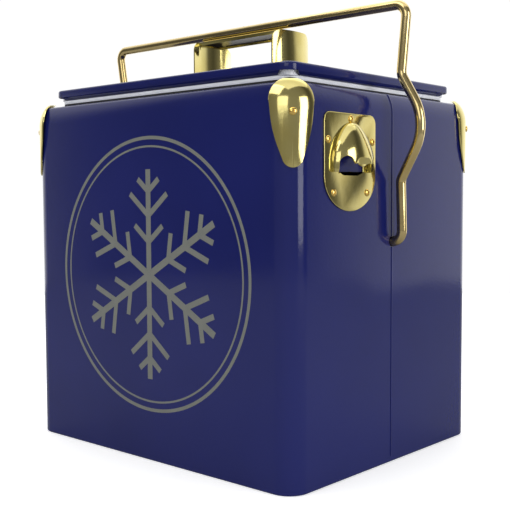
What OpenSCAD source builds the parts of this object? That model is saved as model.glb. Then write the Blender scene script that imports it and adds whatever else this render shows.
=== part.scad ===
// Retro picnic cooler: painted steel chest with a plastic liner, a lift-off lid locked by a
// swing bail, brass-plated corner guards and a wall-mounted bottle opener.
// Millimetres, +Z up, +X to the right of the front face, -Y out of the front face.
// The origin is the middle of the footprint, on the surface that the chest stands on.

/* [Chest] */
// Width of the painted shell
body_w = 310; // [290:1:340]
// Depth of the painted shell, front to back
body_d = 256; // [240:1:280]
// Radius of the upright corners
body_corner_r = 18; // [14:1:22]
// Height at which the sides start to curve in to the shoulder
shoulder_z = 284; // [284:1:284]
// Thickness of the steel sheet
sheet_t = 0.8; // [0.6:0.1:1]
// Thickness of the foam between shell and liner
foam_t = 24; // [18:1:28]
// Wall thickness of the plastic liner
liner_t = 2.2; // [1.6:0.1:3]

/* [Lid] */
// Width of the lid
lid_w = 284; // [270:1:290]
// Depth of the lid
lid_d = 228; // [216:1:236]
// Radius of the lid's upright corners
lid_corner_r = 10; // [6:1:12]
// Height of the lid's flat top above the floor
lid_top_z = 317; // [317:1:318]
// Depth of the plug that drops into the liner
plug_depth = 15; // [10:1:20]

/* [Lid handle] */
// Distance between the outer edges of the two legs
handle_span = 96.6; // [80:0.2:110]
// Width of the strap across the lid
handle_w = 49; // [40:1:56]
// Height of the strap's top above the lid
handle_h = 45.8; // [36:0.1:45.8]
// How far the middle of each leg bulges outwards
handle_bulge = 5; // [2:0.5:7]

/* [Bail] */
// Radius of the bail's rod
rod_r = 4; // [3:0.5:4]
// Height of the bail's pivots
pivot_z = 182; // [180:1:184]
// Distance from the pivots to the grip bar
bail_reach = 186.6; // [186.6:0.1:188]
// Angle by which the locked bail leans forward
bail_lean = 2.6; // [2:0.1:3]

/* [Corner guards] */
// Radius of the guard's broad upper end
guard_top_r = 16.7; // [14:0.1:18]
// Radius of the guard's lower tip
guard_tip_r = 7.8; // [5:0.1:10]
// Thickness of the pressed guard
guard_t = 0.9; // [0.6:0.1:1.2]

/* [Bottle opener] */
// Width of the opener's plate
opener_w = 65.5; // [60:0.5:70]
// Height of the opener's plate
opener_h = 74; // [70:1:78]
// Thickness of the opener's plate
opener_t = 1.4; // [1:0.1:2]
// Front-to-back place of the opener's middle
opener_y = -59.2; // [-62:0.1:-56]

/* [Hidden] */

$fn = 64;
paint_blue = [0.10, 0.12, 0.36];
brass = [0.83, 0.74, 0.38];
liner_white = [0.93, 0.94, 0.96];
foam_cream = [0.93, 0.88, 0.72];
galvanised = [0.62, 0.64, 0.66];
rubber_black = [0.06, 0.06, 0.06];

eps = 0.01;
lap = 0.3;           // how far one stretch runs into the next, so that they fuse
lap_inset = 0.02;    // how much slimmer the stretch inside is
fit_gap = 0.2;       // between foam and its neighbours
body_gap = 0.3;      // between pieces that move apart
arc_step = 6;        // degrees between the points of a slow arc
tight_step = 12;     // degrees between the points of a tight arc

// Section of the chest's wall: a slow arc, then a tight one onto a level top flange.
base_edge_r = 1.5;
slow_r = 30;
tight_r = 4;
slow_end = 30;       // degrees of slow arc
tight_inset = slow_r - (slow_r - tight_r) * cos(slow_end);
tight_z = shoulder_z + (slow_r - tight_r) * sin(slow_end);
crest_z = tight_z + tight_r;
top_flange_inset = 20;
base_flange_inset = 9;
seam_w = 1.6;
seam_proud = 0.5;

// Liner
liner_inset = sheet_t + fit_gap + foam_t;
liner_corner_r = 18;
liner_floor_z = 22;
rim_inset = 16;
rim_corner_r = 15;
rim_top_z = lid_top_z - 10;
rim_t = 2.5;
rim_lip_z = crest_z + 3;
rim_foot_w = 3;

// Lid
lid_edge_r = 2;
skirt_z = lid_top_z - 6.5;
hem_in = 3.5;
hem_z = lid_top_z - 9.6;
lid_liner_inset = 4.3;
lid_liner_t = 2;
plug_gap = 1.5;
plug_inset = liner_inset + liner_t + plug_gap;
plug_z = rim_top_z - plug_depth;
lid_seat_z = rim_top_z + body_gap;

// Lid handle
handle_t = 1.2;
handle_corner_r = 9;
handle_lip = 3;
handle_top_z = lid_top_z + handle_h;
handle_bow_r = (pow(handle_w / 2, 2) + pow(handle_bulge, 2)) / (2 * handle_bulge);
handle_axis_x = handle_span / 2 + handle_bulge - handle_bow_r;
foot_l = 15;
foot_rivet_x = handle_span / 2 - 8;
foot_rivet_y = 12;

// Bail: bend radii and the straight runs between them, from the pivot upwards
arm_x = body_w / 2 + 9.4;
pin_bend_r = 9;
kink_r = 10;
bulge_r = 40;
kink_angle = 30;
splay = 7;
lower_run = 38;
rising_run = 24.4;
falling_run = 19.3;
grip_bend_r = 9;
kinks_rise = pin_bend_r + lower_run + 2 * kink_r * sin(kink_angle) + kink_r * sin(splay)
    + (rising_run + falling_run) * cos(kink_angle) + 2 * bulge_r * sin(kink_angle);
upper_run = (bail_reach - kinks_rise - grip_bend_r * (1 + sin(splay))) / cos(splay);
kinks_out = kink_r * (1 - cos(kink_angle)) + kink_r * (cos(kink_angle) - cos(splay))
    + (rising_run - falling_run) * sin(kink_angle);
grip_half = arm_x + kinks_out + upper_run * sin(splay) - grip_bend_r * cos(splay);
pin_end_x = body_w / 2 - 14;
pin_clearance = 0.06;
pivot_hole_r = rod_r + 0.5;
socket_r = 6;
socket_flange_r = 11;
socket_flange_t = 1.2;

// Rivets
rivet_shank_r = 1.6;
rivet_head_r = 2.9;
rivet_head_h = 1.5;
rivet_bore_r = 0.8;
rivet_tail_r = 2.4;
rivet_tail_l = 3;
rivet_hole_r = rivet_shank_r + 0.1;

// Corner guards: each is a dish whose upright axis lies inside the chest, so that its
// middle rests near the corner and its edges stand off the sides.
guard_turn_front = 5;      // degrees that a guard sits round towards the side panel
guard_turn_rear = 14;
guard_axis = -5.8;
guard_sweep = 100;
guard_low_z = 230;
guard_low_reach = 24.0;
guard_reach = 24.8;
guard_knee_z = 283;
guard_over_r = 13;
guard_over_h = 20.7;
guard_top_z = 287.5;
guard_tip_z = 247;
guard_swell = 1.8;
guard_rivet_z = 279;
guard_rivet_r = guard_axis + guard_t + fit_gap / 4 + guard_low_reach
    + (guard_reach - guard_low_reach) * (guard_rivet_z - guard_low_z) / (guard_knee_z - guard_low_z);
guard_taper = asin((guard_top_r - guard_tip_r) / (guard_top_z - guard_tip_z));

// Bottle opener
opener_top_z = 281.2;
opener_corner_r = 7;
opener_tip_h = 27;
hood_top_z = 273.5;
hood_lip_z = 237;
hood_r = 27;
hood_set_back = 12;
hood_t = 1.3;
mouth_w = 32;
mouth_low_z = 232;
mouth_high_z = 250;
notch_y = 16.5;
notch_r = 5;
notch_z = 243.5;
lip_mid_z = 242;
tooth_w = 7;
tooth_back = 5;
rivet_side = 28.3;
rivet_low_side = 21.4;
opener_rivets_yz = [
    [0, 277], [-rivet_side, 260.6], [rivet_side, 260.6],
    [-rivet_low_side, 221.3], [rivet_low_side, 221.3]];

// ---------------------------------------------------------------- building blocks

function reversed(list) = [for (i = [len(list) - 1:-1:0]) list[i]];

// Rectangle with round corners.
module round_rect(w, d, r) {
    square([w - 2 * r, d], center = true);
    square([w, d - 2 * r], center = true);
    for (x = [-1, 1], y = [-1, 1])
        translate([x * (w / 2 - r), y * (d / 2 - r)]) circle(r);
}

// Round-cornered block inset from the chest's outline, between two heights.
module inset_block(inset, r, z0, z1) {
    translate([0, 0, z0]) linear_extrude(z1 - z0)
        round_rect(body_w - 2 * inset, body_d - 2 * inset, r);
}

// Round-cornered ring between two insets.
module inset_ring(inset_out, r_out, inset_in, r_in, z0, z1) {
    difference() {
        inset_block(inset_out, r_out, z0, z1);
        inset_block(inset_in, r_in, z0 - 1, z1 + 1);
    }
}

// Solid whose upright section is the given [inset, z] outline all round, corners included.
module profiled_box(w, d, r, outline) {
    n = len(outline) - 1;
    module section(half)
        polygon(concat(
            [for (p = outline) [half - p[0], p[1]]],
            [for (i = [n:-1:0]) [outline[i][0] - half, outline[i][1]]]));
    rotate([90, 0, 90]) linear_extrude(w - 2 * r, center = true) section(d / 2);
    rotate([90, 0, 0]) linear_extrude(d - 2 * r, center = true) section(w / 2);
    for (x = [-1, 1], y = [-1, 1])
        translate([x * (w / 2 - r), y * (d / 2 - r), 0])
            rotate_extrude()
                polygon(concat(
                    [[0, outline[0][1]]],
                    [for (p = outline) [r - p[0], p[1]]],
                    [[0, outline[n][1]]]));
}

// The wall's upper curve grown outwards by g, from the side up to the top flange.
function shoulder_curve(g) = concat(
    [for (a = [0:arc_step:slow_end])
        [slow_r - (slow_r + g) * cos(a), shoulder_z + (slow_r + g) * sin(a)]],
    [for (a = [slow_end + tight_step:tight_step:90])
        [tight_inset - (tight_r + g) * cos(a), tight_z + (tight_r + g) * sin(a)]]);

// The chest's outline grown outwards by g.
function chest_outline(g) = concat(
    [for (a = [90:-30:0])
        [base_edge_r - (base_edge_r + g) * cos(a), base_edge_r - (base_edge_r + g) * sin(a)]],
    shoulder_curve(g));

module chest_block(g = 0) {
    profiled_box(body_w, body_d, body_corner_r, chest_outline(g));
}

// Blind rivet along +Z: its head stands on z = 0, and its tail swells below the grip.
module rivet(grip) {
    rotate_extrude() polygon(concat(
        [[rivet_bore_r, rivet_head_h], [rivet_bore_r, -grip], [0, -grip],
         [0, -grip - rivet_tail_l], [rivet_tail_r * 0.7, -grip - rivet_tail_l],
         [rivet_tail_r, -grip - rivet_tail_l / 2], [rivet_tail_r * 0.7, -grip],
         [rivet_shank_r, -grip], [rivet_shank_r, 0], [rivet_head_r, 0]],
        [for (a = [20:20:60]) [rivet_head_r * cos(a), rivet_head_h * sin(a) / sin(60) * 0.98]]));
}

// Lays a rivet's axis level, its head towards +X.
module face_outwards() {
    rotate([0, 90, 0]) children();
}

// Places a guard on a corner's axis, its +X along the outward diagonal, turned a little
// towards the side panel.
module at_corner(sx, sy) {
    turn = sy > 0 ? guard_turn_rear : guard_turn_front;
    translate([sx * (body_w / 2 - body_corner_r), sy * (body_d / 2 - body_corner_r), 0])
        rotate([0, 0, atan2(sy, sx) - sx * sy * turn]) children();
}

module guard_rivet_holes(r, inner, outer) {
    for (sx = [-1, 1], sy = [-1, 1])
        at_corner(sx, sy) translate([body_corner_r - inner, 0, guard_rivet_z])
            rotate([0, 90, 0]) cylinder(r = r, h = inner + outer);
}

module opener_rivet_holes(r, inner, outer) {
    for (p = opener_rivets_yz)
        translate([body_w / 2 - inner, opener_y + p[0], p[1]])
            rotate([0, 90, 0]) cylinder(r = r, h = inner + outer);
}

module pivot_holes(r, inner) {
    for (s = [-1, 1])
        translate([s * (body_w / 2 - inner / 2 + 1), 0, pivot_z])
            rotate([0, 90, 0]) cylinder(r = r, h = inner + 2, center = true);
}

// ---------------------------------------------------------------- chest

// Whole pressed skin, still in one piece.
module skin() {
    difference() {
        chest_block();
        chest_block(-sheet_t);
        inset_block(top_flange_inset, 2, crest_z - 5, crest_z + 5);
        inset_block(base_flange_inset, base_flange_inset, -5, 5);
    }
}

module shell_half(side) {
    color(paint_blue) difference() {
        intersection() {
            skin();
            translate([0, side * (body_d / 2 + fit_gap / 4), crest_z / 2])
                cube([body_w + 20, body_d, crest_z + 20], center = true);
        }
        guard_rivet_holes(rivet_hole_r, 4, 4);
        opener_rivet_holes(rivet_hole_r, 4, 4);
        pivot_holes(pivot_hole_r, 4);
    }
}

// Folded lock seam that stands proud of each side, on the front half.
module lock_seams() {
    color(paint_blue) difference() {
        intersection() {
            chest_block(seam_proud);
            translate([0, -seam_w / 2 - fit_gap / 4, crest_z / 2])
                cube([body_w + 20, seam_w, crest_z - 8], center = true);
        }
        chest_block(-0.2);
        pivot_holes(pivot_hole_r + 0.6, 6);
    }
}

module front_shell() {
    shell_half(-1);
    lock_seams();
}

module rear_shell() shell_half(1);

// Closing plate inside the bottom edge, with an upturned rim.
module base_pan() {
    rim_h = 9;
    color(galvanised) difference() {
        inset_block(base_edge_r, body_corner_r - base_edge_r, sheet_t, rim_h);
        inset_block(base_edge_r + sheet_t, body_corner_r - base_edge_r - sheet_t,
            2 * sheet_t, rim_h + 1);
    }
}

module body_foam() {
    color(foam_cream) difference() {
        chest_block(-sheet_t - fit_gap);
        inset_block(-5, body_corner_r, -5, 2 * sheet_t + fit_gap);
        inset_ring(-5, body_corner_r, base_edge_r + sheet_t + fit_gap, body_corner_r - 3, -5, 9.3);
        inset_block(liner_inset - fit_gap, liner_corner_r, liner_floor_z - fit_gap, crest_z + 5);
        guard_rivet_holes(rivet_tail_r + 0.4, 7, 0);
        opener_rivet_holes(rivet_tail_r + 0.4, 7, 0);
        pivot_holes(socket_r + 0.4, 17);
        pivot_holes(socket_flange_r + 0.4, sheet_t + socket_flange_t + 1);
    }
}

// White tub with an overhanging rim that sits on the shell's top flange.
module inner_liner() {
    inner_r = liner_corner_r - liner_t;
    color(liner_white) difference() {
        union() {
            inset_block(liner_inset, liner_corner_r, liner_floor_z, rim_top_z);
            inset_block(rim_inset, rim_corner_r, rim_top_z - rim_t, rim_top_z);
            inset_ring(rim_inset, rim_corner_r, rim_inset + rim_t, rim_corner_r - 1,
                rim_lip_z, rim_top_z - rim_t + eps);
            inset_ring(rim_inset + 2, rim_corner_r - 1, rim_inset + 2 + rim_foot_w,
                rim_corner_r - 2, crest_z, rim_top_z - rim_t + eps);
        }
        inset_block(liner_inset + liner_t, inner_r, liner_floor_z + liner_t, rim_top_z + 1);
    }
}

// Rubber strip on the shell's top flange, tucked under the liner's rim.
module rim_seal() {
    color(rubber_black)
        inset_ring(rim_inset + 0.3, rim_corner_r - 0.3, rim_inset + 1.8, rim_corner_r - 1.2,
            crest_z, rim_lip_z);
}

// Blind flanged sleeve behind the side wall that the bail's end turns in.
module pivot_socket(side) {
    wall_x = body_w / 2;
    color(galvanised) translate([0, 0, pivot_z]) mirror([side < 0 ? 1 : 0, 0, 0]) difference() {
        union() {
            translate([pin_end_x - 3, 0, 0]) rotate([0, 90, 0])
                cylinder(r = socket_r, h = wall_x - sheet_t - socket_flange_t - pin_end_x + 3 + eps);
            translate([wall_x - sheet_t - socket_flange_t, 0, 0]) rotate([0, 90, 0])
                cylinder(r = socket_flange_r, h = socket_flange_t);
        }
        translate([pin_end_x - 1, 0, 0]) rotate([0, 90, 0])
            cylinder(r = rod_r + pin_clearance, h = wall_x);
    }
}

// ---------------------------------------------------------------- corner guards

// Egg outline of a guard, with x up and y across: two arcs joined by swelling sides.
module guard_outline() {
    rise = guard_top_z - guard_tip_z;
    function side(share) = [
        guard_tip_z + share * rise - guard_side_r(share) * sin(guard_taper),
        guard_side_r(share) * cos(guard_taper) + guard_swell * sin(180 * share)];
    half = concat(
        [for (a = [180:-15:105]) [guard_tip_z + guard_tip_r * cos(a), guard_tip_r * sin(a)]],
        [for (share = [0:0.125:1]) side(share)],
        [for (a = [90:-10:0]) [guard_top_z + guard_top_r * cos(a), guard_top_r * sin(a)]]);
    polygon(concat(half, [for (p = reversed(half)) if (p[1] > eps) [p[0], -p[1]]]));
}

// Radius between the tip's and the broad end's, at a share of the way up.
function guard_side_r(share) = guard_tip_r + share * (guard_top_r - guard_tip_r);

// Section of the pressed sheet, inner face at t = 0: [distance from the guard's axis, z].
// It leans out up to the knee, then bends over the shoulder onto the deck.
function guard_face(t) = concat(
    [[guard_low_reach + t, guard_low_z]],
    [for (a = [0:9:90]) [
        guard_reach - guard_over_r + (guard_over_r + t) * cos(a),
        guard_knee_z + (guard_over_h + t) * sin(a)]]);

// One guard's dished sheet, its outward diagonal along +X.
module guard_sheet() {
    translate([guard_axis, 0, 0]) rotate([0, 0, -guard_sweep / 2])
        rotate_extrude(angle = guard_sweep)
            polygon(concat(guard_face(guard_t), reversed(guard_face(0))));
}

module corner_guard(sx, sy) {
    color(brass) difference() {
        at_corner(sx, sy) intersection() {
            guard_sheet();
            rotate([0, -90, 0]) mirror([0, 0, 1])
                linear_extrude(body_corner_r * 2) guard_outline();
        }
        guard_rivet_holes(rivet_hole_r, 4, 8);
    }
}

module guard_rivets() {
    color(brass)
        for (sx = [-1, 1], sy = [-1, 1])
            at_corner(sx, sy)
                translate([guard_rivet_r, 0, guard_rivet_z])
                    face_outwards() rivet(guard_rivet_r - body_corner_r + sheet_t);
}

// ---------------------------------------------------------------- bottle opener

// Plate outline, x up and y across: square shoulders and a half-ellipse tip.
module opener_outline() {
    top = opener_top_z;
    tip_z = top - opener_h + opener_tip_h;
    half = opener_w / 2;
    polygon(concat(
        [for (a = [0:15:90]) [top - opener_corner_r * (1 - cos(a)),
                              half - opener_corner_r * (1 - sin(a))]],
        [for (a = [0:10:180]) [tip_z - opener_tip_h * sin(a), half * cos(a)]],
        [for (a = [90:-15:0]) [top - opener_corner_r * (1 - cos(a)),
                               -half + opener_corner_r * (1 - sin(a))]]));
}

module opener_plate() {
    color(brass) difference() {
        translate([body_w / 2 + fit_gap / 4, opener_y, 0])
            rotate([0, -90, 0]) mirror([0, 0, 1]) linear_extrude(opener_t) opener_outline();
        translate([body_w / 2, opener_y, (mouth_low_z + mouth_high_z) / 2])
            cube([20, mouth_w, mouth_high_z - mouth_low_z], center = true);
        opener_rivet_holes(rivet_hole_r, 4, 8);
    }
}

// Half-round hood: its radius at a given share of the way down from its crown.
function hood_radius(share) = hood_r * sqrt(1 - pow(1 - share, 2.2));

module hood_solid(g) {
    rows = 12;
    translate([body_w / 2 - hood_set_back, opener_y, 0]) rotate_extrude()
        polygon(concat(
            [[0, hood_top_z - hood_t + g]],
            [for (i = [1:rows])
                [max(0.1, hood_radius(i / rows) - hood_t + g),
                 hood_top_z - hood_t + g - (hood_top_z - hood_t - hood_lip_z) * i / rows]],
            [[hood_r - hood_t + g, hood_lip_z - 1], [0, hood_lip_z - 1]]));
}

// Gap under the hood's lip: it rises to a round notch at each side, and the lip between
// them hangs a little lower. Drawn at the opener's centre line.
module lip_gap() {
    for (s = [-1, 1])
        translate([s * notch_y, notch_z]) circle(notch_r);
    for (s = [-1, 1])
        translate([s * notch_y - notch_r, hood_lip_z - 1])
            square([2 * notch_r, notch_z - hood_lip_z + 1]);
    translate([-notch_y, hood_lip_z - 1])
        square([2 * notch_y, lip_mid_z - hood_lip_z + 1]);
}

// Pressed hood over the mouth, with a tooth behind the middle of its lip.
module opener_hood() {
    plate_x = body_w / 2 + fit_gap / 4 + opener_t;
    hood_reach = hood_r - hood_set_back - fit_gap / 4 - opener_t;
    color(brass) {
        difference() {
            intersection() {
                hood_solid(hood_t);
                translate([plate_x, opener_y - 40, hood_lip_z])
                    cube([40, 80, hood_top_z - hood_lip_z + 5]);
            }
            hood_solid(0);
            translate([plate_x - 1, opener_y, 0]) rotate([90, 0, 90])
                linear_extrude(40) lip_gap();
        }
        translate([plate_x + tooth_back, opener_y - tooth_w / 2, lip_mid_z - 0.5])
            cube([hood_reach - tooth_back - hood_t / 2, tooth_w, hood_t]);
    }
}

module opener_rivets() {
    color(brass)
        for (p = opener_rivets_yz)
            translate([body_w / 2 + fit_gap / 4 + opener_t, opener_y + p[0], p[1]])
                face_outwards() rivet(fit_gap / 4 + opener_t + sheet_t);
}

// ---------------------------------------------------------------- bail

// Draws a rod along a flat path, heading along +Y at first. Each step is
// ["run", length] or ["bend", radius, degrees], where a positive angle turns towards -X.
// Runs lap into the bends, which are a hair slimmer, so that the whole rod fuses.
module rod_path(steps, i = 0) {
    if (i < len(steps)) {
        step = steps[i];
        if (step[0] == "run") {
            translate([0, -lap, 0]) rotate([-90, 0, 0])
                cylinder(r = rod_r, h = step[1] + 2 * lap);
            translate([0, step[1], 0]) rod_path(steps, i + 1);
        } else {
            left = step[2] > 0;
            translate([left ? -step[1] : step[1], 0, 0]) {
                rotate([0, 0, left ? 0 : 180 + step[2]]) rotate_extrude(angle = abs(step[2]))
                    translate([step[1], 0]) circle(rod_r - lap_inset);
                rotate([0, 0, step[2]]) translate([left ? step[1] : -step[1], 0, 0])
                    rod_path(steps, i + 1);
            }
        }
    }
}

// Up one arm from its turned-in end, across the grip and down the other arm.
arm_steps = [
    ["run", arm_x - pin_bend_r - pin_end_x - lap],
    ["bend", pin_bend_r, 90],
    ["run", lower_run],
    ["bend", kink_r, -kink_angle],
    ["run", rising_run],
    ["bend", bulge_r, 2 * kink_angle],
    ["run", falling_run],
    ["bend", kink_r, -kink_angle - splay],
    ["run", upper_run],
    ["bend", grip_bend_r, 90 + splay]];

module bail() {
    color(brass) translate([pin_end_x + lap, 0, pivot_z]) rotate([bail_lean, 0, 0])
        rotate([90, 0, 0]) rotate([0, 0, -90])
            rod_path(concat(arm_steps, [["run", 2 * grip_half]], reversed(arm_steps)));
}

// ---------------------------------------------------------------- lid

// Sloping hem along one side of the lid, its ends mitred. Drawn with the skirt on +Y.
module hem(length, half) {
    slope = atan2(skirt_z - hem_z, hem_in);
    t_in = sheet_t * sin(slope);
    t_up = sheet_t * cos(slope);
    intersection() {
        rotate([90, 0, 90]) linear_extrude(length, center = true)
            polygon([[half, skirt_z], [half - hem_in, hem_z],
                     [half - hem_in - t_in, hem_z + t_up],
                     [half - sheet_t, skirt_z + t_up], [half, skirt_z + t_up]]);
        translate([0, half, hem_z - 1]) linear_extrude(6)
            polygon([[-length / 2, 0], [length / 2, 0],
                     [length / 2 - hem_in - 1, -hem_in - 1],
                     [-length / 2 + hem_in + 1, -hem_in - 1]]);
    }
}

function lid_outline(g, low) = concat(
    [[-g, low]],
    [for (a = [0:15:90])
        [lid_edge_r - (lid_edge_r + g) * cos(a),
         lid_top_z - lid_edge_r + (lid_edge_r + g) * sin(a)]]);

module foot_rivet_holes(r, z0, z1) {
    for (x = [-1, 1], y = [-1, 1])
        translate([x * foot_rivet_x, y * foot_rivet_y, z0]) cylinder(r = r, h = z1 - z0);
}

module lid_shell() {
    color(paint_blue) {
        difference() {
            profiled_box(lid_w, lid_d, lid_corner_r, lid_outline(0, skirt_z));
            profiled_box(lid_w, lid_d, lid_corner_r, lid_outline(-sheet_t, skirt_z - 1));
            foot_rivet_holes(rivet_hole_r, lid_top_z - 5, lid_top_z + 5);
        }
        for (s = [0, 180]) {
            rotate([0, 0, s]) hem(lid_w - 2 * lid_corner_r, lid_d / 2);
            rotate([0, 0, s + 90]) hem(lid_d - 2 * lid_corner_r, lid_w / 2);
        }
    }
}

// Block inset from the lid's outline.
module lid_block(inset, r, z0, z1) {
    translate([0, 0, z0]) linear_extrude(z1 - z0)
        round_rect(lid_w - 2 * inset, lid_d - 2 * inset, r);
}

module lid_liner() {
    wall_r = lid_corner_r - lid_liner_inset;
    plug_r = liner_corner_r - liner_t - plug_gap;
    color(liner_white) difference() {
        union() {
            lid_block(lid_liner_inset, wall_r, lid_seat_z, skirt_z + 2);
            inset_block(plug_inset, plug_r, plug_z, lid_seat_z + eps);
        }
        lid_block(lid_liner_inset + lid_liner_t, wall_r - 1, lid_seat_z + lid_liner_t,
            skirt_z + 3);
        inset_block(plug_inset + lid_liner_t, plug_r - lid_liner_t, plug_z + lid_liner_t,
            skirt_z + 3);
    }
}

module lid_foam() {
    wall_r = lid_corner_r - lid_liner_inset - 1;
    plug_r = liner_corner_r - liner_t - plug_gap - lid_liner_t;
    foam_low = lid_seat_z + lid_liner_t + fit_gap;
    color(foam_cream) difference() {
        union() {
            lid_block(lid_liner_inset + lid_liner_t + fit_gap, wall_r, foam_low,
                lid_top_z - sheet_t - fit_gap);
            inset_block(plug_inset + lid_liner_t + fit_gap, plug_r,
                plug_z + lid_liner_t + fit_gap, foam_low + eps);
        }
        foot_rivet_holes(rivet_tail_r + 0.4, lid_top_z - 6, lid_top_z);
    }
}

// Strap handle: two bowed legs, a top with turned-down edges, and feet turned inwards.
module lid_handle() {
    leg_h = handle_top_z - lid_top_z;
    top_half = handle_w / 2 - handle_corner_r;
    module leg_block(g)
        translate([handle_axis_x, 0, lid_top_z]) cylinder(r = handle_bow_r + g, h = leg_h);
    module leg_outline() {
        translate([leg_h / 2 - handle_corner_r / 2, 0])
            square([leg_h - handle_corner_r, handle_w], center = true);
        translate([leg_h / 2, 0]) square([leg_h, 2 * top_half], center = true);
        for (s = [-1, 1]) translate([leg_h - handle_corner_r, s * top_half])
            circle(handle_corner_r);
    }
    module both_ends() {
        children();
        mirror([1, 0, 0]) children();
    }
    color(brass) difference() {
        union() {
            both_ends() intersection() {
                difference() {
                    leg_block(0);
                    leg_block(-handle_t);
                }
                translate([0, 0, lid_top_z]) rotate([0, -90, 0]) mirror([0, 0, 1])
                    linear_extrude(handle_span) leg_outline();
            }
            both_ends() intersection() {
                leg_block(-eps);
                union() {
                    translate([0, -top_half, handle_top_z - handle_t])
                        cube([handle_span, 2 * top_half, handle_t]);
                    for (s = [-1, 1])
                        translate([0, s * (top_half - handle_t / 2) - handle_t / 2,
                                   handle_top_z - handle_lip])
                            cube([handle_span, handle_t, handle_lip]);
                }
            }
            both_ends() intersection() {
                leg_block(-eps);
                translate([handle_span / 2 - foot_l, -handle_w / 2 + 4, lid_top_z])
                    cube([foot_l + handle_bulge, handle_w - 8, handle_t]);
            }
        }
        foot_rivet_holes(rivet_hole_r, lid_top_z - 5, lid_top_z + 5);
    }
}

module lid_handle_rivets() {
    color(brass)
        for (x = [-1, 1], y = [-1, 1])
            translate([x * foot_rivet_x, y * foot_rivet_y, lid_top_z + handle_t])
                rivet(handle_t + sheet_t);
}

front_shell();
rear_shell();
base_pan();
body_foam();
inner_liner();
rim_seal();
pivot_socket(-1);  // pivot_socket_left
pivot_socket(1);  // pivot_socket_right
corner_guard(-1, -1);  // corner_guard_front_left
corner_guard(1, -1);  // corner_guard_front_right
corner_guard(-1, 1);  // corner_guard_rear_left
corner_guard(1, 1);  // corner_guard_rear_right
guard_rivets();
opener_plate();
opener_hood();
opener_rivets();
bail();
lid_shell();
lid_foam();
lid_liner();
lid_handle();
lid_handle_rivets();
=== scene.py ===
# %% [markdown]
# # A retro picnic cooler, dressed around its CAD frame
# The chest is a painted steel box with a folded seam in the middle of each side, a white
# plastic liner, a lid held down by a swing bail, four brass-plated corner guards and a bottle
# opener. The CAD model sets every size and every moving part. This notebook gives the pieces
# the soft edges, pressed curves and finishes that a good print or render needs.

# %% Load the frame
import bpy
import math
from mathutils import Matrix, Vector


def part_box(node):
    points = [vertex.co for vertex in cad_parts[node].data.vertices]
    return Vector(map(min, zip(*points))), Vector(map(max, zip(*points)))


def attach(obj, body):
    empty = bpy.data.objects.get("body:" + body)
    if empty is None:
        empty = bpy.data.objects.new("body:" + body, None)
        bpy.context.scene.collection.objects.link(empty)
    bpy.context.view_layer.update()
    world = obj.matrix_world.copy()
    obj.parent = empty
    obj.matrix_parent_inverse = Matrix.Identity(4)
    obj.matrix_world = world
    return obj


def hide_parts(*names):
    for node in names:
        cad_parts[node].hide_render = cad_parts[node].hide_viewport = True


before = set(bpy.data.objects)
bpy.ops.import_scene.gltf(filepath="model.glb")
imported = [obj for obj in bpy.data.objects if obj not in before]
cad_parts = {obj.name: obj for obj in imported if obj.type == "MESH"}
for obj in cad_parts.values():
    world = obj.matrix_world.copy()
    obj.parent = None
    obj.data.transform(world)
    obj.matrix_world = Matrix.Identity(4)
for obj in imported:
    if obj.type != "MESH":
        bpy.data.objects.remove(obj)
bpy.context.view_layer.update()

MM = 0.001
scene = bpy.context.scene

# %% [markdown]
# ## Small helpers
# Modelling by script follows the same habit as modelling by hand: deselect everything, add a
# primitive, go into edit mode, pick faces or edges by where they are, and use the operator.

# %% Helpers for selecting and editing


def clear_selection():
    for each in bpy.context.selected_objects:
        each.select_set(False)


def make_active(piece):
    clear_selection()
    piece.select_set(True)
    bpy.context.view_layer.objects.active = piece
    return piece


def edit(piece, mode="VERT"):
    make_active(piece)
    bpy.ops.object.mode_set(mode="EDIT")
    bpy.ops.mesh.select_mode(type=mode)
    bpy.ops.mesh.select_all(action="DESELECT")


def done():
    bpy.ops.object.mode_set(mode="OBJECT")


def pick(piece, kind, test):
    """Selects the vertices, edges or faces for which test is true. Leaves edit mode on."""
    bpy.ops.object.mode_set(mode="OBJECT")
    mesh = piece.data
    for group in (mesh.vertices, mesh.edges, mesh.polygons):
        for item in group:
            item.select = False
    for item in getattr(mesh, kind):
        item.select = bool(test(item))
    bpy.ops.object.mode_set(mode="EDIT")


def edge_middle(piece, edge):
    a, b = edge.vertices
    return (piece.data.vertices[a].co + piece.data.vertices[b].co) / 2


def apply_modifiers(piece):
    make_active(piece)
    for modifier in list(piece.modifiers):
        bpy.ops.object.modifier_apply(modifier=modifier.name)


def settle(piece):
    """Leaves the piece's place in its mesh and its object at the origin."""
    make_active(piece)
    bpy.ops.object.transform_apply(location=True, rotation=True, scale=True)


def tidy_normals(piece):
    edit(piece)
    bpy.ops.mesh.select_all(action="SELECT")
    bpy.ops.mesh.remove_doubles(threshold=0.01 * MM)
    bpy.ops.mesh.normals_make_consistent(inside=False)
    done()


def smooth(piece, degrees=35):
    make_active(piece)
    bpy.ops.object.shade_smooth_by_angle(angle=math.radians(degrees))


def round_edges(piece, width, segments=3, degrees=35):
    bevel = piece.modifiers.new("round_edges", "BEVEL")
    bevel.width = width
    bevel.segments = segments
    bevel.limit_method = "ANGLE"
    bevel.angle_limit = math.radians(degrees)
    bevel.harden_normals = False
    bevel.use_clamp_overlap = True
    apply_modifiers(piece)


def join(name, *pieces):
    make_active(pieces[0])
    for each in pieces:
        each.select_set(True)
    if len(pieces) > 1:
        bpy.ops.object.join()
    pieces[0].name = name
    pieces[0].data.name = name
    return pieces[0]


def copy_of(piece, name):
    twin = piece.copy()
    twin.data = piece.data.copy()
    twin.name = name
    scene.collection.objects.link(twin)
    return twin


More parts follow.
